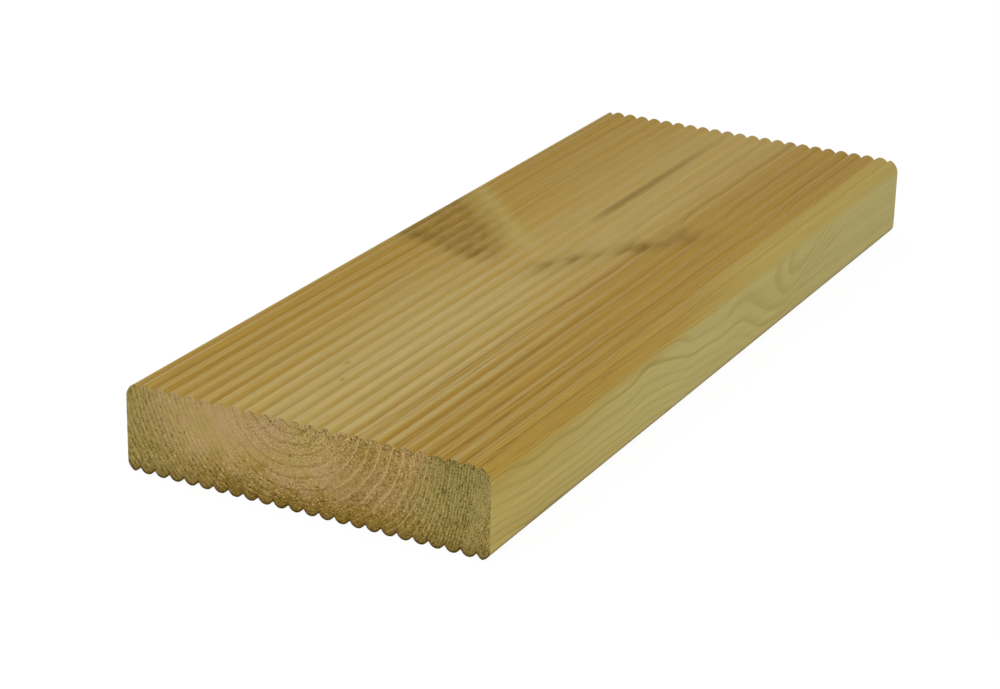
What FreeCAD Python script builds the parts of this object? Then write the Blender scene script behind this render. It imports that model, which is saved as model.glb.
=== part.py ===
# A reeded softwood decking board: one planed length of timber, with rounded reeds on both broad
# faces and rounded long edges.
#
# Frame: X runs across the width, Y along the length and Z up through the thickness. The origin is
# at the middle of the underside, level with the crests of the lower reeds, so the board lies on Z = 0.

import FreeCAD
import Part

import math
import os

# Driving dimensions, in millimetres.
BOARD_WIDTH = 145.0
BOARD_THICKNESS = 34.0  # from the crests of the lower reeds to the crests of the upper ones
BOARD_LENGTH = 380.0
REED_PITCH = 6.13  # from one groove to the next
UPPER_GROOVE_DEPTH = 1.5  # from the crests down to the roots
LOWER_GROOVE_DEPTH = 2.0
GROOVE_ROOT_RADIUS = 0.4  # left by the tips of the moulding knives
EDGE_MARGIN = 5.0  # least distance from a long edge to the outermost groove
UPPER_EDGE_RADIUS = 6.0
LOWER_EDGE_RADIUS = 4.0

# As many grooves as the width has room for, spread evenly about the middle of the board.
GROOVE_COUNT = 1 + math.floor((BOARD_WIDTH - 2 * EDGE_MARGIN) / REED_PITCH)
OUTER_GROOVE = (GROOVE_COUNT - 1) * REED_PITCH / 2

UPWARDS = math.pi / 2
DOWNWARDS = -math.pi / 2


class Face:
    """One broad face of the board: where its points lie, its reeds and grooves, and its rounded long edges.

    A point is given by x and by its height above the crests of the face.
    """

    def __init__(self, place, groove_depth, edge_radius):
        # The reed and root arcs are tangent to each other, so pitch, depth and root radius fix the reed.
        centre_distance = ((REED_PITCH / 2) ** 2 + groove_depth**2) / (2 * groove_depth)
        self.place = place
        self.groove_depth = groove_depth
        self.edge_radius = edge_radius
        self.reed_radius = centre_distance - GROOVE_ROOT_RADIUS
        self.reed_half_angle = math.asin(REED_PITCH / 2 / centre_distance)


def on_upper_face(x, height):
    return FreeCAD.Vector(x, -BOARD_LENGTH / 2, BOARD_THICKNESS + height)


def on_lower_face(x, height):
    return FreeCAD.Vector(x, -BOARD_LENGTH / 2, -height)


def arc(place, centre, radius, start, end):
    """The arc about centre from one angle to another, in radians."""
    angles = (start, (start + end) / 2, end)
    points = [place(centre[0] + radius * math.cos(a), centre[1] + radius * math.sin(a)) for a in angles]
    return Part.Arc(*points).toShape()


def line(start, end):
    return Part.LineSegment(start, end).toShape()


def direction(centre, point):
    """The angle at which point is seen from centre."""
    return math.atan2(point[1] - centre[1], point[0] - centre[0])


def upper_meeting_point(centre_a, radius_a, centre_b, radius_b):
    """The higher of the two points that two circles share."""
    dx = centre_b[0] - centre_a[0]
    dh = centre_b[1] - centre_a[1]
    distance = math.hypot(dx, dh)
    along = (distance**2 + radius_a**2 - radius_b**2) / (2 * distance)
    across = math.copysign(math.sqrt(radius_a**2 - along**2), dx)
    x = centre_a[0] + (along * dx - across * dh) / distance
    height = centre_a[1] + (along * dh + across * dx) / distance
    return x, height


def groove_root(face, x):
    centre = (x, GROOVE_ROOT_RADIUS - face.groove_depth)
    half_angle = face.reed_half_angle
    return arc(face.place, centre, GROOVE_ROOT_RADIUS, DOWNWARDS - half_angle, DOWNWARDS + half_angle)


def reed(face, x):
    centre = (x, -face.reed_radius)
    half_angle = face.reed_half_angle
    return arc(face.place, centre, face.reed_radius, UPWARDS + half_angle, UPWARDS - half_angle)


def shoulder(face, place):
    """From the outermost groove on the +X side, up the flank of the last reed and round the long edge."""
    flank_centre = (OUTER_GROOVE + REED_PITCH / 2, -face.reed_radius)
    flank_start = UPWARDS + face.reed_half_angle
    edge_centre = (BOARD_WIDTH / 2 - face.edge_radius, -face.edge_radius)
    if flank_centre[0] <= edge_centre[0]:
        # There is room for a flat land between the crest of the last reed and the rounded edge.
        return [
            arc(place, flank_centre, face.reed_radius, flank_start, UPWARDS),
            line(place(flank_centre[0], 0), place(edge_centre[0], 0)),
            arc(place, edge_centre, face.edge_radius, UPWARDS, 0),
        ]
    meeting = upper_meeting_point(flank_centre, face.reed_radius, edge_centre, face.edge_radius)
    return [
        arc(place, flank_centre, face.reed_radius, flank_start, direction(flank_centre, meeting)),
        arc(place, edge_centre, face.edge_radius, direction(edge_centre, meeting), 0),
    ]


def reeded_face(face):
    """The outline of one broad face, from long edge to long edge."""
    grooves = [i * REED_PITCH - OUTER_GROOVE for i in range(GROOVE_COUNT)]
    edges = [groove_root(face, x) for x in grooves]
    edges += [reed(face, x + REED_PITCH / 2) for x in grooves[:-1]]
    edges += shoulder(face, face.place)
    edges += shoulder(face, lambda x, height: face.place(-x, height))
    return edges


def long_edge(x):
    """The flat of one long edge, between its two roundings."""
    return line(on_lower_face(x, -LOWER_EDGE_RADIUS), on_upper_face(x, -UPPER_EDGE_RADIUS))


def decking_board():
    """The moulded section, cut square at both ends."""
    edges = reeded_face(Face(on_upper_face, UPPER_GROOVE_DEPTH, UPPER_EDGE_RADIUS))
    edges += reeded_face(Face(on_lower_face, LOWER_GROOVE_DEPTH, LOWER_EDGE_RADIUS))
    edges += [long_edge(BOARD_WIDTH / 2), long_edge(-BOARD_WIDTH / 2)]
    section = Part.Face(Part.Wire(Part.__sortEdges__(edges)))
    return section.extrude(FreeCAD.Vector(0, BOARD_LENGTH, 0))


os.makedirs("parts", exist_ok=True)
board = decking_board()
board.exportStep("parts/decking_board.step")
print("decking_board:", round(board.Volume), "cubic millimetres,", GROOVE_COUNT, "grooves on each broad face")
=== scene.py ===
"""A reeded softwood decking board: the moulded board in solid, procedural wood, and the studio it lies in.

The board is one piece of timber, so its colour comes from one solid pattern of growth rings. The end
grain, the reeded faces and the long edges all show the same rings, each cut its own way.
"""

import math

import bpy
from bpy.props import FloatProperty, FloatVectorProperty, IntProperty, PointerProperty
from bpy.types import Operator, Panel, PropertyGroup
from mathutils import Matrix, Vector


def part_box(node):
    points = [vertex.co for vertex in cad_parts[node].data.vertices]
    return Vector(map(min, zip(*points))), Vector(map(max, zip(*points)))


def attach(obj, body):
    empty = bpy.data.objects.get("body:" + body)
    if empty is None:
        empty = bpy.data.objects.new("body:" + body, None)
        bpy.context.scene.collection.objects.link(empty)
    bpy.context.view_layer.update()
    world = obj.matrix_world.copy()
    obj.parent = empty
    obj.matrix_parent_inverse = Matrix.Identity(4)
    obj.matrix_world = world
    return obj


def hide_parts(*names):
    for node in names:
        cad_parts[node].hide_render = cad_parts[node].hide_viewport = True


bl_info = {
    "name": "Reeded Decking Board",
    "version": (1, 0, 0),
    "blender": (4, 5, 0),
    "location": "View3D > Sidebar > Decking",
    "description": "Builds a reeded softwood decking board in solid wood, and the studio it lies in",
    "category": "Object",
}

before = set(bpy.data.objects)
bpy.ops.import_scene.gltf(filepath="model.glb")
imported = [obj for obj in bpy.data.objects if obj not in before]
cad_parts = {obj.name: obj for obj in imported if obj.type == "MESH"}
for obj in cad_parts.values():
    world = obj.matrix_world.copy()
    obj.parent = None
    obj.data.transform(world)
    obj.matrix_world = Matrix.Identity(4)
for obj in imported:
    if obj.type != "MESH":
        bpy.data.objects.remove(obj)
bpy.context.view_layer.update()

NODE = "decking_board"
BODY = "root"
BOARD_LOW, BOARD_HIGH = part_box(NODE)
BOARD_SIZE = BOARD_HIGH - BOARD_LOW

MM = 0.001  # metres in a millimetre
TURN = 2 * math.pi
WHITE = (1.0, 1.0, 1.0, 1.0)

# The mesh of the board is bent from a gridded block of size 1, with its middle at the origin.
BLOCK_SURFACE = 0.4999  # a point of the block that lies this far out is on its surface
GROOVE_CROWDING = 0.6  # columns lie closer together in the grooves, where the section bends most
END_CROWDING = 0.8  # rows lie closer together towards the ends
CREASE = math.radians(50)  # an edge that bends more than this stays sharp

# Dark places in the upper face, in millimetres: where each lies across and along the board, how wide and
# long it is, and how dark. Six are shadows of the branches, three are specks and the last is a crack.
KNOT_SHADOWS = (
    (-34.0, -12.0, 6.0, 6.0, 0.4),
    (-60.0, -5.0, 6.0, 8.0, 0.4),
    (-1.0, -11.5, 7.0, 9.0, 0.45),
    (6.0, 4.0, 6.5, 10.0, 0.4),
    (21.0, 30.0, 6.0, 7.0, 0.7),
    (31.0, 52.0, 7.0, 9.0, 0.6),
    (-15.0, -136.0, 0.7, 1.6, 1.0),
    (-8.5, -150.0, 0.6, 1.4, 0.9),
    (32.0, -113.0, 0.7, 1.6, 0.9),
    (-42.0, -178.0, 0.4, 7.0, 1.0),
)

# The studio's lamps: name, place and size in metres, and power in watts.
LAMPS = (
    ("key_lamp", (-1.2, -0.35, 1.0), 0.9, 4.0),
    ("end_lamp", (0.5, -1.5, 0.5), 0.9, 7.0),
    ("side_lamp", (1.6, -0.3, 0.25), 0.5, 4.0),
)
FLOOR_REACH = 3.0  # metres from the middle of the floor to its edges
FLOOR_PAINT = (0.6, 0.6, 0.6, 1.0)
FLOOR_GLOW = 1.07  # a little over 1, so that the floor is plain white where the board doesn't shade it
SENSOR_WIDTH = 36.0  # of the camera, in millimetres


def srgb(red, green, blue):
    """A colour as a screen shows it, 0 to 255, as the linear colour that a shader takes."""

    def linear(channel):
        share = channel / 255
        return share / 12.92 if share <= 0.04045 else ((share + 0.055) / 1.055) ** 2.4

    return linear(red), linear(green), linear(blue)


def length_property(name, description, millimetres):
    return FloatProperty(
        name=name, description=description, default=millimetres * MM, unit="LENGTH", precision=5
    )


def angle_property(name, description, degrees):
    return FloatProperty(
        name=name, description=description, default=math.radians(degrees), subtype="ANGLE"
    )


def count_property(name, description, count, least):
    return IntProperty(name=name, description=description, default=count, min=least)


def colour_property(name, description, *screen_colour):
    return FloatVectorProperty(
        name=name, description=description, default=srgb(*screen_colour), subtype="COLOR", min=0.0, max=1.0
    )


class SectionSettings(PropertyGroup):
    """Sizes of the moulded section, and how finely its mesh follows them."""

    width: length_property("Width", "Across the board", BOARD_SIZE.x / MM)
    length: length_property("Length", "Along the grain", BOARD_SIZE.y / MM)
    thickness: length_property("Thickness", "From lower crests to upper crests", BOARD_SIZE.z / MM)
    reed_pitch: length_property("Reed pitch", "From one groove to the next", 6.13)
    upper_groove: length_property("Upper groove", "From the upper crests down to the roots", 1.5)
    lower_groove: length_property("Lower groove", "From the lower crests up to the roots", 2.0)
    root_radius: length_property("Root radius", "Radius at the bottom of a groove", 0.4)
    upper_edge: length_property("Upper edge", "Radius of the upper long edges", 6.0)
    lower_edge: length_property("Lower edge", "Radius of the lower long edges", 4.0)
    saw_relief: length_property("Saw relief", "How deep the saw tears the end grain", 0.22)
    grooves: count_property("Grooves", "Grooves on each broad face", 23, 2)
    reed_columns: count_property("Reed columns", "Mesh columns across one reed", 12, 4)
    edge_columns: count_property("Edge columns", "Mesh columns round a long edge", 14, 4)
    rows: count_property("Rows", "Mesh rows along the length", 84, 2)
    layers: count_property("Layers", "Mesh layers through the thickness", 48, 2)


class GrainSettings(PropertyGroup):
    """How the log's growth rings lie in the board."""

    pith_side: length_property("Pith side", "Where the pith lies across the width", -5.5)
    pith_rise: length_property("Pith rise", "Height of the pith over the upper crests at the front", 7.0)
    pith_slope: FloatProperty(
        name="Pith slope",
        description="How far the pith falls for each unit of length towards the back",
        default=0.033,
    )
    inner_ring: length_property("Inner ring", "Width of a ring near the pith", 4.2)
    middle_ring: length_property("Middle ring", "Width of a ring where growth slows down", 1.9)
    outer_ring: length_property("Outer ring", "Width of a ring in the sapwood", 1.1)
    last_ring: length_property("Last ring", "Width of a ring near the bark", 0.6)
    sapwood_radius: length_property("Sapwood radius", "Distance from the pith where sapwood starts", 54.0)
    whorl: length_property("Whorl", "Where the branches leave the pith, along the length", -15.0)


class ColourSettings(PropertyGroup):
    """Colours of the treated wood."""

    pale: colour_property("Pale", "Earlywood on the reeded faces", 176, 154, 92)
    honey: colour_property("Honey", "Heartwood on the reeded faces", 160, 129, 52)
    gold: colour_property("Gold", "Rounded long edges", 165, 137, 56)
    latewood: colour_property("Latewood", "Dense end of a ring, on the long faces", 140, 104, 38)
    sapwood: colour_property("Sapwood", "Treated sapwood on the long edges", 174, 160, 95)
    sapwood_line: colour_property("Sapwood line", "Ring line in the sapwood", 150, 132, 62)
    end_core: colour_property("End core", "End grain of the heartwood", 166, 142, 77)
    end_peach: colour_property("End peach", "Pink patches in the end grain", 175, 146, 102)
    end_sapwood: colour_property("End sapwood", "End grain of the treated sapwood", 143, 128, 67)
    end_shade: colour_property("End shade", "Olive brown end grain near the underside", 137, 110, 36)
    end_amber: colour_property("End amber", "Resinous end grain between the outer rings", 140, 106, 48)
    end_line: colour_property("End line", "Latewood line in the end grain", 184, 162, 110)
    # Also the colour of the painted shadow along the lower rim of the ends.
    pit_and_rim_shadow: colour_property("Pit", "Torn pits in the end grain", 90, 68, 8)
    knot: colour_property("Knot", "Shadow of the branches", 127, 99, 28)
    pith: colour_property("Pith", "Streak where the pith comes to the surface", 130, 104, 42)


class StageSettings(PropertyGroup):
    """Camera, light from all round, and floor."""

    azimuth: angle_property("Azimuth", "Turn of the camera about the board", 27.6)
    elevation: angle_property("Elevation", "Height of the camera over the horizon", 21.9)
    roll: angle_property("Roll", "Tilt of the picture", 1.25)
    distance: length_property("Distance", "From the camera to the aim", 1025.1)
    lens: FloatProperty(name="Lens", description="Focal length in millimetres", default=97.1, unit="CAMERA")
    aim: FloatVectorProperty(
        name="Aim",
        description="Point that the camera looks at",
        default=(0.00417, -0.05529, 0.017),
        subtype="XYZ",
    )
    ambient: FloatProperty(name="Ambient", description="Light from all round", default=0.85, min=0.0)
    floor_lift: FloatProperty(
        name="Floor lift",
        description="How far the camera sees the floor as plain white",
        default=0.88,
        subtype="FACTOR",
    )


class Value:
    """A number in a node tree. Arithmetic on it adds Math nodes."""

    def __init__(self, graph, socket):
        self.graph = graph
        self.socket = socket

    def __add__(self, other):
        return self.graph.math("ADD", self, other)

    def __sub__(self, other):
        return self.graph.math("SUBTRACT", self, other)

    def __rsub__(self, other):
        return self.graph.math("SUBTRACT", other, self)

    def __mul__(self, other):
        return self.graph.math("MULTIPLY", self, other)

    def __truediv__(self, other):
        return self.graph.math("DIVIDE", self, other)

    def __pow__(self, power):
        return self.graph.math("POWER", self, power)

    def __abs__(self):
        return self.graph.math("ABSOLUTE", self)

    def __lt__(self, other):
        return self.graph.math("LESS_THAN", self, other)

    def __gt__(self, other):
        return self.graph.math("GREATER_THAN", self, other)

    __radd__ = __add__
    __rmul__ = __mul__


def pick(sockets, identifier):
    """The socket with this identifier; names can repeat, identifiers can't."""
    return next(socket for socket in sockets if socket.identifier == identifier)


class Graph:
    """Adds nodes to one node tree."""

    def __init__(self, tree):
        self.tree = tree

    def add(self, kind, settings=None, sockets=None):
        """A new node. Its settings are set first, then its sockets get their values or links."""
        node = self.tree.nodes.new(kind)
        for name, setting in (settings or {}).items():
            setattr(node, name, setting)
        for identifier, value in (sockets or {}).items():
            source = value.socket if isinstance(value, Value) else value
            socket = pick(node.inputs, identifier)
            if isinstance(source, bpy.types.NodeSocket):
                self.tree.links.new(source, socket)
            else:
                socket.default_value = source
        return node

    def value(self, kind, settings=None, sockets=None):
        """The first output of a new node, as a number."""
        return Value(self, self.add(kind, settings, sockets).outputs[0])

    def math(self, operation, *operands):
        sockets = dict(zip(("Value", "Value_001", "Value_002"), operands))
        return self.value("ShaderNodeMath", {"operation": operation}, sockets)

    def vector(self, operation, *operands):
        sockets = dict(zip(("Vector", "Vector_001", "Vector_002"), operands))
        return self.add("ShaderNodeVectorMath", {"operation": operation}, sockets).outputs[0]

    def combine(self, x, y, z):
        return self.add("ShaderNodeCombineXYZ", None, {"X": x, "Y": y, "Z": z}).outputs[0]

    def separate(self, vector):
        node = self.add("ShaderNodeSeparateXYZ", None, {"Vector": vector})
        return [Value(self, socket) for socket in node.outputs]

    def smooth(self, value, low, high):
        """0 below low, 1 above high and an easy slope between; the other way round if low is the higher."""
        ends = {"Value": value, "From Min": low, "From Max": high}
        return self.value("ShaderNodeMapRange", {"interpolation_type": "SMOOTHSTEP"}, ends)

    def hump(self, value, centre, width):
        """1 at the centre, falling off on both sides like a bell."""
        off = (value - centre) / width
        return self.math("EXPONENT", off * off * -1.0)

    def clamp(self, value, low=0.0, high=1.0):
        return self.value("ShaderNodeClamp", None, {"Value": value, "Min": low, "Max": high})

    def noise(self, vector, scale, seed, detail=2.0, roughness=0.5):
        """Smooth noise from about -1 to 1. Scale gives the number of features in a unit of each axis."""
        shift = (seed * 17.31, seed * -9.17, seed * 5.73)
        place = self.vector("MULTIPLY_ADD", vector, scale, shift)
        sockets = {"Vector": place, "Scale": 1.0, "Detail": detail, "Roughness": roughness}
        return self.value("ShaderNodeTexNoise", None, sockets) * 2.0 - 1.0

    def mix(self, factor, first, second, blend="MIX"):
        """A colour between two others."""
        settings = {"data_type": "RGBA", "blend_type": blend}
        sockets = {"Factor_Float": factor, "A_Color": first, "B_Color": second}
        return pick(self.add("ShaderNodeMix", settings, sockets).outputs, "Result_Color")


def grain_scale(across, along):
    """Noise scale for features this wide across the grain and this long along it, in millimetres."""
    return 1 / across, 1 / along, 1 / across


def section_sizes(section, unit=1.0):
    """The sizes that both reeded faces share."""
    sizes = {
        "Width": section.width,
        "Reed pitch": section.reed_pitch,
        "Root radius": section.root_radius,
        "Outer groove": (section.grooves - 1) * section.reed_pitch / 2,
    }
    return {name: size / unit for name, size in sizes.items()}


def section_height(graph, x, depth, edge, sizes):
    """Height of a reeded face over its crests at x, for this groove depth and radius of the long edges."""
    pitch, root = sizes["Reed pitch"], sizes["Root radius"]
    half = pitch / 2
    centres = (half * half + depth * depth) / (depth * 2)
    reed = centres - root
    from_groove = graph.math("PINGPONG", x + sizes["Outer groove"], half)
    from_crest = half - from_groove
    on_reed = graph.math("SQRT", reed * reed - from_crest * from_crest) - reed
    root_rise = graph.math("MAXIMUM", root * root - from_groove * from_groove, 0.0)
    in_root = root - depth - graph.math("SQRT", root_rise)
    is_root = from_groove < root * half / centres
    reeds = on_reed + is_root * (in_root - on_reed)
    past = graph.math("MAXIMUM", abs(x) - (sizes["Width"] / 2 - edge), 0.0)
    rounded = graph.math("SQRT", graph.math("MAXIMUM", edge * edge - past * past, 0.0)) - edge
    return graph.math("MINIMUM", reeds, rounded)


class Timber:
    """Where a point of the board lies in its log. Lengths are in millimetres."""

    def __init__(self, graph, position, section, grain):
        self.graph = graph
        self.section = section
        self.top = section.thickness / MM
        self.sapwood_radius = grain.sapwood_radius / MM
        self.place = graph.vector("MULTIPLY", position, (1 / MM,) * 3)
        self.x, self.y, self.z = graph.separate(self.place)
        fall = (self.y + section.length / 2 / MM) * grain.pith_slope
        # The fibres run with the pith, so patterns along the grain are read in a frame that falls with it.
        self.fibre_place = graph.combine(self.x, self.y, self.z + fall)
        distance = self.find_pith(grain, fall)
        self.find_bulges(distance, grain.whorl / MM)
        self.count_rings(distance, grain)

    def fibres(self, across, along, seed, detail=2.0, roughness=0.5):
        """Noise drawn out along the fibres."""
        return self.graph.noise(self.fibre_place, grain_scale(across, along), seed, detail, roughness)

    def branch(self, reach, start, climb, bend, before, after):
        """How close a point is to a branch that leaves the pith at start and climbs as it goes out.

        The branch's influence is before wide on the side of the front end and after wide beyond it,
        both as shares of the reach.
        """
        off = self.y - (start + (reach / 50) ** bend * climb)
        beyond = off > 0.0
        width = 3.0 + reach * (before + beyond * (after - before))
        return self.graph.hump(off, 0.0, width)

    def find_pith(self, grain, fall):
        """Set where a point lies across the pith and round it, and return its distance from it."""
        graph = self.graph
        wander = graph.noise(self.place, (0, 1 / 110, 0), 1) * 2.0
        across = self.x - wander - grain.pith_side / MM
        # Growth was uneven: the rings stand steeper on the right and lie flatter on the left.
        flatten = 1.0 - graph.smooth(across, 28, 66) * 0.3 + graph.smooth(across, 0, -45) * 0.1
        above = (self.z + fall - (self.top + grain.pith_rise / MM)) * flatten
        self.across = across
        self.angle = graph.math("ARCTAN2", across, above * -1.0)
        self.reach_right = graph.math("MAXIMUM", across, 0.01)
        self.reach_left = graph.math("MAXIMUM", across * -1.0, 0.01)
        self.on_left = graph.smooth(across, 10, -20)
        return graph.math("SQRT", across * across + above * above)

    def find_bulges(self, distance, whorl):
        """Set the radius that the rings follow: they swell round the branches and wobble along the log."""
        graph, across = self.graph, self.across
        leaning = whorl + (self.z - self.top / 2) * 1.5
        right_bulge = self.branch(self.reach_right, leaning, climb=68.0, bend=0.67, before=0.5, after=0.26)
        self.right_bulge = right_bulge * graph.smooth(across, 0, 30)
        left_bulge = self.branch(self.reach_left, whorl, climb=34.0, bend=1.0, before=0.35, after=0.3)
        left_bulge = left_bulge * graph.smooth(across, 0, -30)
        wobble = self.fibres(24.0, 280.0, 2) * 1.8 + self.fibres(6.0, 140.0, 3) * 0.5
        wobble = wobble * (1.0 - graph.smooth(across, 35, 70) * 0.78)
        self.radius = distance + wobble - self.right_bulge * 2.3 - left_bulge * 3.0

    def count_rings(self, distance, grain):
        """Set which ring a point lies in, how far through it and how far from its end."""
        graph = self.graph
        # Rings are wide near the pith and narrower further out, on the right most of all.
        slow_from = 45.0 + 7.0 * self.across / graph.math("MAXIMUM", distance, 1.0)
        late_from = slow_from + 8.0 + self.on_left * 46.0
        slower_from = (slow_from, late_from, late_from + 13.0)
        widths = (grain.inner_ring, grain.middle_ring, grain.outer_ring, grain.last_ring)
        rates = [MM / width for width in widths]
        rate = rates[0]
        count = self.radius * rate
        for start, before, after in zip(slower_from, rates, rates[1:]):
            change = after - before
            count = count + graph.math("MAXIMUM", self.radius - start, 0.0) * change
            rate = rate + (self.radius > start) * change
        ring_number = graph.math("FLOOR", count)
        self.ring_age = count - ring_number
        self.to_ring_end = (1.0 - self.ring_age) / rate
        one_number = {"noise_dimensions": "1D"}
        self.ring_chance = graph.value("ShaderNodeTexWhiteNoise", one_number, {"W": ring_number})

    def moulded_height(self, groove, edge):
        """Height of a reeded face over its crests, at this place across the board."""
        sizes = section_sizes(self.section, MM)
        return section_height(self.graph, self.x, groove / MM, edge / MM, sizes)

    def under_top(self):
        """Depth below the moulded upper face."""
        return self.moulded_height(self.section.upper_groove, self.section.upper_edge) + self.top - self.z

    def over_underside(self):
        """Height above the moulded lower face."""
        return self.moulded_height(self.section.lower_groove, self.section.lower_edge) + self.z


def opaque(setting):
    """A colour setting as a colour socket takes it."""
    return (*setting, 1.0)


def shaded(graph, tone, shade):
    """A colour made lighter or darker by a number about 1."""
    return graph.mix(1.0, tone, graph.combine(shade, shade, shade), "MULTIPLY")


class LongFaces:
    """Colour of the reeded faces and the long edges, where the fibres lie along the surface.

    Places are in millimetres from the middle of the underside, and weights are shares of 1.
    """

    def __init__(self, graph, timber, colours, side):
        self.graph = graph
        self.timber = timber
        self.colours = colours
        self.side = side
        self.broad = timber.fibres(16.0, 420.0, 11)
        self.streak = timber.fibres(2.6, 220.0, 12, 3.0, 0.6)
        self.hair = timber.fibres(0.6, 60.0, 13, 2.0, 0.6)
        self.near_front = graph.smooth(timber.y, 40, -170)
        self.near_back = graph.smooth(timber.y, -20, 60)
        self.near_top = graph.smooth(timber.z, timber.top - 14, timber.top - 4)
        self.below_crests = graph.math("MINIMUM", timber.z, timber.top - timber.z)
        self.left_rounding = graph.smooth(timber.x, -65, -70)
        self.right_rounding = graph.smooth(timber.x, 57, 68)

    def heartwood(self):
        """Pale wood along the pith, and honey-coloured wood to both sides of it and towards the back, with
        painted shade in the grooves near the front and painted light in them further back.
        """
        graph, x, y = self.graph, self.timber.x, self.timber.y
        drift = x + self.broad * 7.0
        honey = graph.smooth(drift, 8, 46) + graph.smooth(drift, -4, -50) * 0.65
        left_band = graph.hump(x, -62.0, 6.0)
        honey = honey + left_band * 0.22 - self.left_rounding * 0.35
        past_front = graph.smooth(y, -110, 30)
        honey = honey + past_front * (0.22 + graph.smooth(x, -45, -5) * 0.13)
        honey = honey + self.near_front * (0.075 - graph.smooth(x, 15, 30) * 0.15)
        # Painted shade: near the front the crests are pale and the grooves are painted golden, as shade
        # would make them. Towards the back the grooves are painted paler, to cancel their shade.
        groove = graph.smooth(self.below_crests, 0.05, 0.7)
        painted_groove_shade = 0.06 + self.near_front * (0.27 + graph.smooth(x, -30, 40) * 0.35)
        painted_groove_shade = painted_groove_shade - self.near_back * 0.32
        honey = graph.clamp(honey + self.streak * 0.8 + (groove - 0.5) * painted_groove_shade)
        return graph.mix(honey, opaque(self.colours.pale), opaque(self.colours.honey))

    def gild_rounding(self, tone):
        """Gold on the right rounding, which turns to sapwood towards the back."""
        graph = self.graph
        tone = graph.mix(self.right_rounding * 0.85, tone, opaque(self.colours.gold))
        sapwood = self.right_rounding * graph.smooth(self.timber.y, -100, 60) * 0.42
        return graph.mix(sapwood, tone, opaque(self.colours.sapwood))

    def draw_rings(self, tone):
        """Latewood of the rings, clearest away from the pith, and dark threads near the front."""
        graph, timber = self.graph, self.timber
        late = graph.smooth(timber.ring_age, 0.3, 0.95)
        line = graph.smooth(timber.to_ring_end, 0.6, 0.2)
        far_right = graph.smooth(timber.across, 8, 36)
        far_left = graph.smooth(timber.across, -20, -50)
        outside = 0.25 + far_right * 0.75 + far_left * 0.4
        weight = (late * 0.3 + line * 0.35) * outside * (0.4 + timber.ring_chance * 0.8)
        plain_rounding = graph.smooth(timber.y, -40, 60) * self.right_rounding
        weight = weight * (1.0 - timber.right_bulge * 0.75) * (1.0 - plain_rounding)
        thread = graph.smooth(timber.fibres(0.8, 160.0, 15, 2.0, 0.6), 0.1, 0.45)
        weight = weight + thread * self.near_front * (0.12 + graph.smooth(timber.x, 10, 40) * 0.5)
        return graph.mix(graph.clamp(weight), tone, opaque(self.colours.latewood))

    def mark_branches(self, tone):
        """Dark traces of the branches and of the pith, where they come to the upper face."""
        graph, timber, colours = self.graph, self.timber, self.colours
        x, y = timber.x, timber.y
        off_crest = graph.smooth(timber.z, timber.top - 0.05, timber.top - 0.7)
        broken = graph.clamp(0.65 + off_crest * 0.25 + timber.fibres(2.6, 8.0, 14))
        # The right branch left dashes along its line, the left one a brown shade that ends at a pale seam.
        dashes = timber.branch(timber.reach_right, -16.0, climb=72.0, bend=0.8, before=0.16, after=0.1)
        dashes = dashes * graph.smooth(timber.across, 0, 4) * graph.smooth(x, 50, 26)
        dashes = dashes * (0.35 + graph.smooth(x, 8, 20) * 0.2)
        off_seam = y - 57.0 + (x + 68.0) * 1.02 + timber.fibres(5.0, 26.0, 16) * 7.0
        over_arm = graph.smooth(y - timber.reach_left * 0.25, -28, -17)
        brown = graph.smooth(off_seam, -3, -17) * over_arm * graph.smooth(x, -15, -32)
        knots = 0.0
        for across, along, width, length, depth in KNOT_SHADOWS:
            knots = knots + graph.hump(x, across, width) * graph.hump(y, along, length) * depth
        shadow = (dashes + brown * 0.72) * broken + knots * (0.4 + broken * 0.5)
        tone = graph.mix(graph.clamp(shadow * self.near_top), tone, opaque(colours.knot))
        pale_seam = graph.hump(off_seam, 4.0, 6.0) * graph.smooth(x, -2, -24) * self.near_top
        tone = graph.mix(pale_seam * 0.4, tone, opaque(colours.sapwood))
        olive_seam = graph.hump(off_seam, -7.0, 5.0) * graph.smooth(x, -20, -34) * self.near_top
        tone = graph.mix(olive_seam * 0.5, tone, opaque(colours.sapwood_line))
        pith = graph.hump(x, -8.0, 1.6) * graph.smooth(y, 38, 70) * graph.smooth(y, 220, 90)
        pith = graph.clamp(pith * self.near_top * (0.6 + broken * 0.25))
        return graph.mix(pith, tone, opaque(colours.pith))

    def long_edge(self):
        """Sapwood, golden at the front, with ring lines that broaden and then fade towards the back."""
        graph, timber, colours = self.graph, self.timber, self.colours
        y, age = timber.y, timber.ring_age
        gilt = graph.smooth(y, -20, -190) * (0.42 + graph.smooth(timber.z, 17, 29) * 0.33)
        tone = graph.mix(gilt, opaque(colours.sapwood), opaque(colours.gold))
        line = graph.smooth(age, 0.6 - self.near_back * 0.35, 0.87) * graph.smooth(age, 1.0, 0.93)
        line = line * (0.45 + graph.smooth(y, 0, -80) * 0.55 + self.near_back * 0.2)
        line = line * graph.smooth(y, 145, 90) * (0.35 + timber.ring_chance * 0.55)
        return graph.mix(line, tone, opaque(colours.sapwood_line))

    def tone(self):
        graph, x, y, z = self.graph, self.timber.x, self.timber.y, self.timber.z
        tone = self.gild_rounding(self.heartwood())
        tone = self.mark_branches(self.draw_rings(tone))
        tone = graph.mix(self.side * graph.smooth(z, 32.5, 26), tone, self.long_edge())
        # Little light reaches the grooves, so they are painted lighter than the crests, less so near the
        # front: painted light that cancels their shade.
        painted_groove_light = graph.smooth(self.below_crests, 0.3, 1.4) * graph.smooth(abs(x), 69, 66)
        painted_groove_light = painted_groove_light * (1.0 - self.near_front * 0.6)
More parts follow.
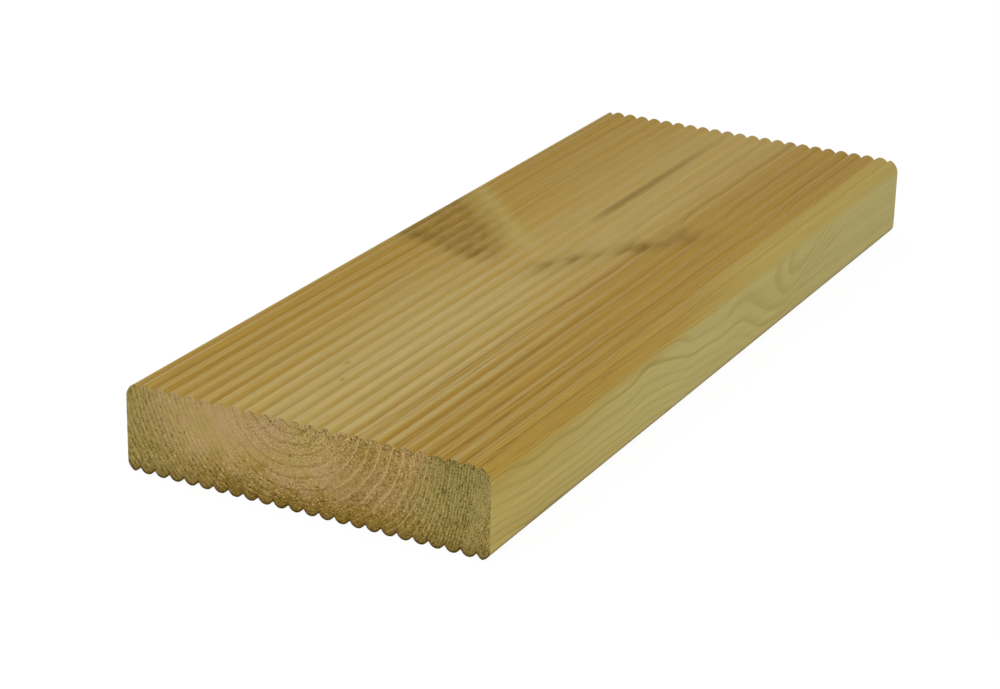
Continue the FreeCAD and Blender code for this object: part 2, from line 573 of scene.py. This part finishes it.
        # Painted shade darkens the lower rounding of each long side.
        lower_rounding_shade = graph.smooth(abs(x), 70, 72) * graph.smooth(z, 3.8, 2.4)
        shade = 0.97 + painted_groove_light * 0.32 + self.hair * (0.18 - self.near_back * 0.09) + self.streak * 0.15
        # Painted light lifts the left rounding.
        shade = shade - y * 0.0002 + self.left_rounding * (1.0 - self.side) * 0.08 - lower_rounding_shade * 0.25
        return shaded(graph, tone, shade)


class EndGrain:
    """Colour of the saw-cut ends, where the fibres stand on end.

    Places are in millimetres from the middle of the underside, and weights are shares of 1.
    """

    def __init__(self, graph, timber, colours):
        self.graph = graph
        self.timber = timber
        self.colours = colours
        self.blotch = graph.noise(timber.place, grain_scale(12.0, 60.0), 21)
        # Out from the pith and round the rings, which are read as if unrolled.
        ring_place = graph.combine(timber.radius, timber.angle * 60.0, timber.y)
        self.weave = graph.noise(ring_place, (1.6, 0.6, 0.1), 24, 2.0, 0.6)
        self.hatch = graph.noise(ring_place, (0.85, 1.9, 0.1), 25, 1.0)
        self.sweep = graph.noise(ring_place, (2.0, 0.1, 0.1), 26, 1.0)
        self.right = graph.smooth(timber.across, 8, 30)
        self.left = graph.smooth(timber.across, -20, -42)
        self.calm = graph.hump(timber.x, -38.0, 17.0) * graph.hump(timber.z, 25.0, 11.0)
        self.low = graph.smooth(timber.z + self.blotch * 6.0, 17, 4)
        spread = 7.0 + timber.on_left * 4.0
        past = timber.radius + self.blotch * 5.0 - timber.sapwood_radius - timber.on_left * 3.0
        self.sapwood = graph.smooth(past / spread, -1, 1)
        # On the right the saw tore the soft wood of each ring and left the hard wood smooth.
        self.soft = graph.smooth(timber.ring_age, 0.85, 0.68) * self.right
        self.resin = self.soft * (1.0 - self.sapwood) * graph.smooth(timber.z, -6, 14)
        self.near_line = graph.smooth(timber.to_ring_end, 0.5, 0.15)
        line = self.near_line * self.right * (0.35 + timber.ring_chance * 0.65)
        self.line = line * graph.clamp(0.8 + self.weave * 1.5) * (1.0 - self.sapwood * 0.15)
        self.grain = self.torn_grain()

    def torn_grain(self):
        """How the saw left the wood: torn out where this is below 0, standing proud where it is above."""
        graph, timber = self.graph, self.timber
        x, z = timber.x, timber.z
        green = self.sapwood * self.right
        grit = graph.noise(timber.place, grain_scale(0.5, 6.0), 23, 1.0)
        crumbly = graph.hump(timber.across, 10.0, 24.0) * graph.smooth(z, 16, 30)
        grain = self.weave * (0.85 - green * 0.35) + self.hatch * self.resin * 1.1
        grain = grain + self.sweep * (1.0 - self.right) * 0.4
        grain = grain + grit * (0.6 + crumbly * 0.5 + green * 0.35)
        ring_dark = graph.smooth(timber.to_ring_end, 1.3, 0.8) * (1.0 - self.near_line)
        grain = grain - ring_dark * (0.1 + self.left * 0.13) - self.soft * self.sapwood * 0.07
        rim = graph.smooth(timber.under_top(), 2.4, 0.4) * graph.smooth(x, -50, 20)
        rough = 0.95 + self.low * (0.5 - self.left * 0.4 - self.right * 0.35) + green * 0.17 + rim * 0.5
        rough = rough - graph.hump(x, 8.0, 25.0) * graph.hump(z, 17.0, 6.0) * 0.2
        return grain * rough * (1.0 - self.calm * 0.6) * (1.0 - self.line * 0.7)

    def wood(self):
        """The wood's own colour: core, sapwood, the darker lower part and the resin in the rings."""
        graph, timber, colours = self.graph, self.timber, self.colours
        peach = graph.clamp(0.5 + self.blotch * 1.3)
        tone = graph.mix(peach, opaque(colours.end_core), opaque(colours.end_peach))
        tone = graph.mix(self.sapwood * (1.0 - self.left * 0.2), tone, opaque(colours.end_sapwood))
        lower = self.low * (0.9 - self.sapwood * 0.5 - self.left * 0.35)
        tone = graph.mix(lower, tone, opaque(colours.end_shade))
        amber = graph.clamp(self.resin * (0.5 + self.hatch * 2.0))
        tone = graph.mix(amber, tone, opaque(colours.end_amber))
        band = graph.smooth(timber.to_ring_end, 1.7, 1.0) * graph.smooth(timber.to_ring_end, 0.1, 0.4)
        band = band * (1.0 - self.right) * (0.35 - self.left * 0.25) * (1.0 - self.calm * 0.8)
        return graph.mix(band, tone, opaque(colours.end_amber))

    def tone(self):
        graph, timber, colours = self.graph, self.timber, self.colours
        pits = graph.smooth(self.grain, -0.15, -0.65)
        tone = graph.mix(pits * 0.7, self.wood(), opaque(colours.pit_and_rim_shadow))
        crumbs = graph.smooth(self.grain + self.near_line * (1.0 - self.right) * 0.3, 0.15, 0.6) * 0.7
        tone = graph.mix(graph.clamp(crumbs + self.line * 0.75), tone, opaque(colours.end_line))
        # Painted shadow: the scalloped lower rim, where the board meets the floor, is painted dark, most of
        # all along its very edge.
        lift = timber.over_underside()
        painted_rim_shadow = graph.smooth(lift, 5.5, 0.1) * graph.clamp(0.7 + self.weave * 1.5)
        tone = graph.mix(painted_rim_shadow * 0.6, tone, opaque(colours.pit_and_rim_shadow))
        tone = graph.mix(graph.smooth(lift, 1.3, 0.2) * 0.85, tone, opaque(colours.pit_and_rim_shadow))
        rim_shade = graph.smooth(lift, 1.1, 0.1) * 0.4
        upper = graph.hump(timber.x, 18.0, 22.0) * 0.07 - graph.smooth(timber.x, 38, 52) * 0.06
        upper = upper - graph.hump(timber.x, -36.0, 18.0) * 0.05
        upper = upper * graph.smooth(timber.z, 18, 28)
        shade = 1.015 + self.grain * 0.45 + self.blotch * 0.05 + upper - rim_shade
        return shaded(graph, tone, shade)


def treated_pine(section, grain, colours):
    """Solid softwood, green-tinted by its preservative."""
    material = bpy.data.materials.new("treated_pine")
    material.use_nodes = True
    material.node_tree.nodes.clear()
    graph = Graph(material.node_tree)
    coordinates = graph.add("ShaderNodeTexCoord")
    timber = Timber(graph, pick(coordinates.outputs, "Object"), section, grain)
    normal = graph.separate(pick(coordinates.outputs, "Normal"))
    end = graph.smooth(abs(normal[1]), 0.5, 0.8)
    side = graph.smooth(abs(normal[0]), 0.8, 0.998)
    long_faces = LongFaces(graph, timber, colours, side)
    end_grain = EndGrain(graph, timber, colours)
    fuzz = long_faces.hair * 0.2
    height = fuzz + end * (end_grain.grain - fuzz)
    bump = graph.add("ShaderNodeBump", None, {"Strength": 0.8, "Distance": 0.3 * MM, "Height": height})
    shader = graph.add(
        "ShaderNodeBsdfPrincipled",
        None,
        {
            "Base Color": graph.mix(end, long_faces.tone(), end_grain.tone()),
            "Roughness": 0.58 + end * 0.3 + long_faces.hair * 0.05,
            "Specular IOR Level": 0.12,
            "Normal": bump.outputs[0],
        },
    )
    graph.add("ShaderNodeOutputMaterial", None, {"Surface": shader.outputs[0]})
    return material


def add_inputs(tree, socket_type, values):
    """Give a tree named inputs, and return the value of each by its socket's identifier."""
    by_identifier = {}
    for name, value in values.items():
        socket = tree.interface.new_socket(name=name, in_out="INPUT", socket_type=socket_type)
        by_identifier[socket.identifier] = value
    return by_identifier


def across_board(graph, column, reed_columns, sizes):
    """Place of a column across the board: bunched in the grooves, and closing up at the long edges."""
    from_reeds = column - sizes["Edge columns"]
    reeded = graph.clamp(from_reeds / sizes["Reed columns"], 0.0, sizes["Grooves"] - 1)
    whole = graph.math("FLOOR", reeded)
    part = reeded - whole
    bunched = part - graph.math("SINE", part * TURN) * (GROOVE_CROWDING / TURN)
    right = graph.clamp((from_reeds - reed_columns) / sizes["Edge columns"])
    left = graph.clamp(from_reeds * -1.0 / sizes["Edge columns"])
    swing = graph.math("SINE", right * (TURN / 4)) - graph.math("SINE", left * (TURN / 4))
    margin = sizes["Width"] / 2 - sizes["Outer groove"]
    return (whole + bunched) * sizes["Reed pitch"] - sizes["Outer groove"] + swing * margin


def saw_tear(graph, timber, on_rim):
    """How deep the saw tore an end: less along the hard ring lines, and more at the rim."""
    torn = graph.noise(timber.place, grain_scale(1.6, 30.0), 31, 3.0, 0.6)
    ridge = graph.smooth(timber.to_ring_end, 0.9, 0.2)
    return graph.clamp(0.45 + torn * 0.6 - ridge * 0.3 + on_rim * 0.25)


def board_tree(section, grain, wood):
    """Nodes that bend a gridded block into the moulded board and roughen its ends, with their inputs."""
    tree = bpy.data.node_groups.new("Reeded board", "GeometryNodeTree")
    graph = Graph(tree)
    lengths = {
        **section_sizes(section),
        "Length": section.length,
        "Thickness": section.thickness,
        "Upper groove": section.upper_groove,
        "Lower groove": section.lower_groove,
        "Upper edge": section.upper_edge,
        "Lower edge": section.lower_edge,
        "Saw relief": section.saw_relief,
    }
    counts = {
        "Grooves": section.grooves,
        "Reed columns": section.reed_columns,
        "Edge columns": section.edge_columns,
        "Rows": section.rows,
        "Layers": section.layers,
    }
    values = add_inputs(tree, "NodeSocketFloat", lengths)
    values.update(add_inputs(tree, "NodeSocketInt", counts))
    values.update(add_inputs(tree, "NodeSocketMaterial", {"Wood": wood}))
    tree.interface.new_socket(name="Board", in_out="OUTPUT", socket_type="NodeSocketGeometry")
    group_input = graph.add("NodeGroupInput")
    sizes = {name: Value(graph, group_input.outputs[name]) for name in (*lengths, *counts)}

    reed_columns = (sizes["Grooves"] - 1) * sizes["Reed columns"]
    columns = reed_columns + sizes["Edge columns"] * 2
    block = graph.add(
        "GeometryNodeMeshCube",
        None,
        {
            "Size": (1.0, 1.0, 1.0),
            "Vertices X": columns + 1,
            "Vertices Y": sizes["Rows"] + 1,
            "Vertices Z": sizes["Layers"] + 1,
        },
    )
    u, v, w = graph.separate(graph.add("GeometryNodeInputPosition").outputs[0])
    x = across_board(graph, graph.math("ROUND", (u + 0.5) * columns), reed_columns, sizes)
    eased = graph.math("SINE", v * (TURN / 2)) * (END_CROWDING / 2)
    y = sizes["Length"] * (v * (1 - END_CROWDING) + eased)
    low = section_height(graph, x, sizes["Lower groove"], sizes["Lower edge"], sizes) * -1.0
    high = section_height(graph, x, sizes["Upper groove"], sizes["Upper edge"], sizes) + sizes["Thickness"]
    z = low + (high - low) * (w + 0.5) + BOARD_LOW.z

    is_end = abs(v) > BLOCK_SURFACE
    on_rim = graph.math("MAXIMUM", abs(w), abs(u)) > BLOCK_SURFACE
    timber = Timber(graph, graph.combine(x, y, z), section, grain)
    tear = saw_tear(graph, timber, on_rim)
    inward = graph.math("SIGN", v) * -1.0 * tear * sizes["Saw relief"] * is_end
    placed = graph.add(
        "GeometryNodeSetPosition",
        None,
        {"Geometry": block.outputs[0], "Position": graph.combine(x, y + inward, z)},
    )
    smooth = graph.add(
        "GeometryNodeSetShadeSmooth",
        {"domain": "FACE"},
        {"Geometry": placed.outputs[0], "Shade Smooth": True},
    )
    bend = graph.value("GeometryNodeInputMeshEdgeAngle")
    creased = graph.add(
        "GeometryNodeSetShadeSmooth",
        {"domain": "EDGE"},
        {"Geometry": smooth.outputs[0], "Shade Smooth": bend < CREASE},
    )
    whole_board = graph.add("GeometryNodeRealizeInstances", None, {"Geometry": creased.outputs[0]})
    dressed = graph.add(
        "GeometryNodeSetMaterial",
        None,
        {"Geometry": whole_board.outputs[0], "Material": group_input.outputs["Wood"]},
    )
    output = graph.add("NodeGroupOutput")
    tree.links.new(dressed.outputs[0], output.inputs[0])
    return tree, values


def plain_mesh(name, tree, values):
    """The mesh that a tree makes, as an object with no modifier."""
    maker = bpy.data.objects.new(name, bpy.data.meshes.new(name + "_seed"))
    bpy.context.scene.collection.objects.link(maker)
    modifier = maker.modifiers.new(tree.name, "NODES")
    modifier.node_group = tree
    for identifier, value in values.items():
        modifier[identifier] = value
    depsgraph = bpy.context.evaluated_depsgraph_get()
    mesh = bpy.data.meshes.new_from_object(maker.evaluated_get(depsgraph))
    mesh.name = name
    maker.modifiers.remove(modifier)
    seed_mesh = maker.data
    maker.data = mesh
    bpy.data.meshes.remove(seed_mesh)
    return maker


class DECKING_OT_board(Operator):
    """Build the moulded board and its wood"""

    bl_idname = "decking.board"
    bl_label = "Build Board"

    def execute(self, context):
        scene = context.scene
        wood = treated_pine(scene.decking_section, scene.decking_grain, scene.decking_colours)
        tree, values = board_tree(scene.decking_section, scene.decking_grain, wood)
        board = plain_mesh("reeded_board", tree, values)
        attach(board, BODY)
        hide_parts(NODE)
        return {"FINISHED"}


def seen_directly(graph):
    """1 on rays that show the background itself: straight to the camera, or by way of gloss or glass."""
    path = graph.add("ShaderNodeLightPath")
    kinds = ("Is Camera Ray", "Is Glossy Ray", "Is Transmission Ray")
    camera, gloss, glass = [Value(graph, pick(path.outputs, kind)) for kind in kinds]
    return graph.math("MINIMUM", camera + gloss + glass, 1.0)


def add_world(stage):
    world = bpy.data.worlds.new("studio")
    world.use_nodes = True
    world.node_tree.nodes.clear()
    graph = Graph(world.node_tree)
    strength = stage.ambient + seen_directly(graph) * (1.0 - stage.ambient)
    background = graph.add("ShaderNodeBackground", None, {"Color": WHITE, "Strength": strength})
    graph.add("ShaderNodeOutputWorld", None, {"Surface": background.outputs[0]})
    bpy.context.scene.world = world


def add_floor(stage):
    mesh = bpy.data.meshes.new("floor")
    reach = FLOOR_REACH
    corners = [(-reach, -reach, 0), (reach, -reach, 0), (reach, reach, 0), (-reach, reach, 0)]
    mesh.from_pydata(corners, [], [(0, 1, 2, 3)])
    floor = bpy.data.objects.new("floor", mesh)
    bpy.context.scene.collection.objects.link(floor)
    material = bpy.data.materials.new("pale_floor")
    material.use_nodes = True
    material.node_tree.nodes.clear()
    graph = Graph(material.node_tree)
    paper = graph.add("ShaderNodeBsdfDiffuse", None, {"Color": FLOOR_PAINT})
    glow = graph.add("ShaderNodeEmission", None, {"Color": WHITE, "Strength": FLOOR_GLOW})
    lifted = seen_directly(graph) * stage.floor_lift
    shader = graph.add(
        "ShaderNodeMixShader",
        None,
        {"Fac": lifted, "Shader": paper.outputs[0], "Shader_001": glow.outputs[0]},
    )
    graph.add("ShaderNodeOutputMaterial", None, {"Surface": shader.outputs[0]})
    mesh.materials.append(material)


def add_lamp(name, place, size, power):
    """A soft square lamp that faces the board."""
    data = bpy.data.lights.new(name, "AREA")
    data.size = size
    data.energy = power
    lamp = bpy.data.objects.new(name, data)
    lamp.location = place
    lamp.rotation_euler = (-Vector(place)).to_track_quat("-Z", "Y").to_euler()
    bpy.context.scene.collection.objects.link(lamp)


def add_camera(stage):
    turn, lift = stage.azimuth, stage.elevation
    back = Vector((math.sin(turn) * math.cos(lift), -math.cos(turn) * math.cos(lift), math.sin(lift)))
    right = Vector((math.cos(turn), math.sin(turn), 0.0))
    axes = Matrix((right, back.cross(right), back)).transposed() @ Matrix.Rotation(stage.roll, 3, "Z")
    data = bpy.data.cameras.new("camera")
    data.lens = stage.lens
    data.sensor_width = SENSOR_WIDTH
    camera = bpy.data.objects.new("camera", data)
    camera.matrix_world = Matrix.Translation(Vector(stage.aim) + back * stage.distance) @ axes.to_4x4()
    bpy.context.scene.collection.objects.link(camera)
    bpy.context.scene.camera = camera


class DECKING_OT_stage(Operator):
    """Lay the floor, hang the lamps and set up the camera"""

    bl_idname = "decking.stage"
    bl_label = "Build Stage"

    def execute(self, context):
        stage = context.scene.decking_stage
        context.scene.view_settings.view_transform = "Standard"
        add_world(stage)
        add_floor(stage)
        for lamp in LAMPS:
            add_lamp(*lamp)
        add_camera(stage)
        return {"FINISHED"}


class DECKING_PT_sidebar(Panel):
    """Lists the settings and the build steps"""

    bl_idname = "DECKING_PT_sidebar"
    bl_label = "Decking Board"
    bl_space_type = "VIEW_3D"
    bl_region_type = "UI"
    bl_category = "Decking"

    def draw(self, context):
        for group in GROUPS:
            settings = getattr(context.scene, group)
            box = self.layout.box()
            for name in settings.__annotations__:
                box.prop(settings, name)
        self.layout.operator(DECKING_OT_board.bl_idname)
        self.layout.operator(DECKING_OT_stage.bl_idname)


GROUPS = {
    "decking_section": SectionSettings,
    "decking_grain": GrainSettings,
    "decking_colours": ColourSettings,
    "decking_stage": StageSettings,
}
CLASSES = (*GROUPS.values(), DECKING_OT_board, DECKING_OT_stage, DECKING_PT_sidebar)


def register():
    for cls in CLASSES:
        bpy.utils.register_class(cls)
    for name, group in GROUPS.items():
        setattr(bpy.types.Scene, name, PointerProperty(type=group))


def unregister():
    for name in GROUPS:
        delattr(bpy.types.Scene, name)
    for cls in reversed(CLASSES):
        bpy.utils.unregister_class(cls)


def main():
    register()
    bpy.ops.decking.board()
    bpy.ops.decking.stage()


if __name__ == "__main__":
    main()
